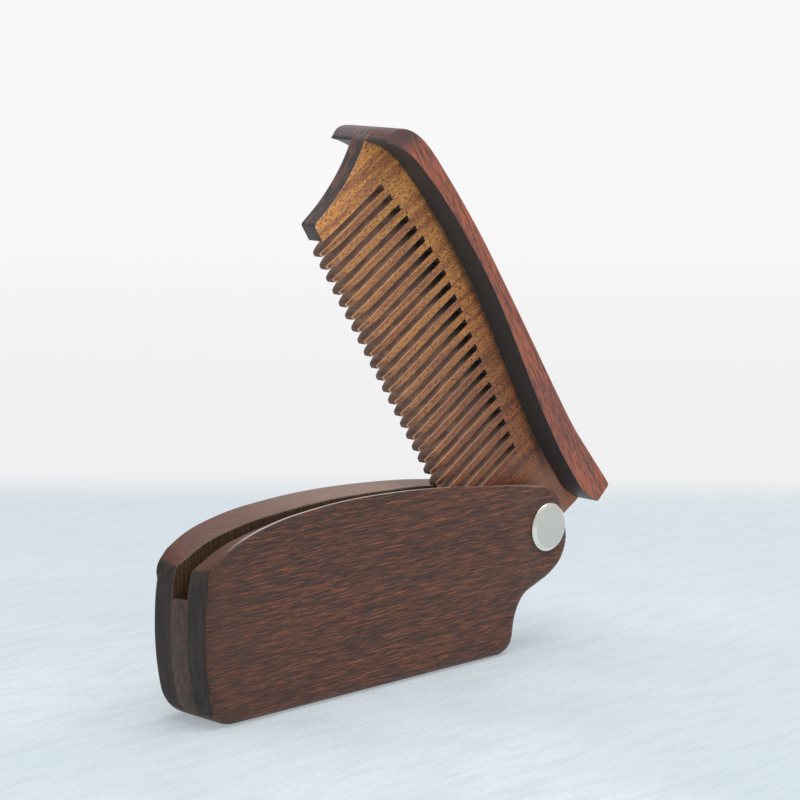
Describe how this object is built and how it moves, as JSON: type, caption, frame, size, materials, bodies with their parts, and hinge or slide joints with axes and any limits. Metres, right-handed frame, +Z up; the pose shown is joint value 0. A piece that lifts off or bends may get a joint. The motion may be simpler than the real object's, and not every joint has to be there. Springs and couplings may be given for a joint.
{
  "type": "folding beard comb",
  "caption": "Folding wooden beard comb: a toothed comb with a raised spine swings out of a slotted wooden handle on one rivet.",
  "frame": {"origin": "middle of the handle's flat lower edge, midway between the front and the rear face", "axes": "+X along the handle towards the pivot, +Y from the front scale to the rear scale, +Z up from the flat lower edge"},
  "size_m": [0.1106, 0.016, 0.1066],
  "materials": {
    "dark_scale_wood": "oiled satin",
    "spacer_wood": "oiled satin",
    "comb_wood": "oiled satin",
    "spine_wood": "polished satin",
    "rivet_metal": "satin nickel",
    "washer_metal": "plain"
  },
  "bodies": {
    "handle": {"front_scale": "dark_scale_wood", "rear_scale": "dark_scale_wood", "handle_spacer": "spacer_wood", "rivet_post": "rivet_metal", "rivet_pin": "rivet_metal", "front_washer": "washer_metal", "rear_washer": "washer_metal"},
    "comb": {"comb_plate": "comb_wood", "front_spine_strip": "spine_wood", "rear_spine_strip": "spine_wood"}
  },
  "joints": [
    {"name": "comb_hinge", "type": "hinge", "parent": "handle", "child": "comb", "pos_m": [0.05, 0, 0.0246], "axis": [0, 1, 0], "range_deg": [-54.8, 123.6]}
  ]
}
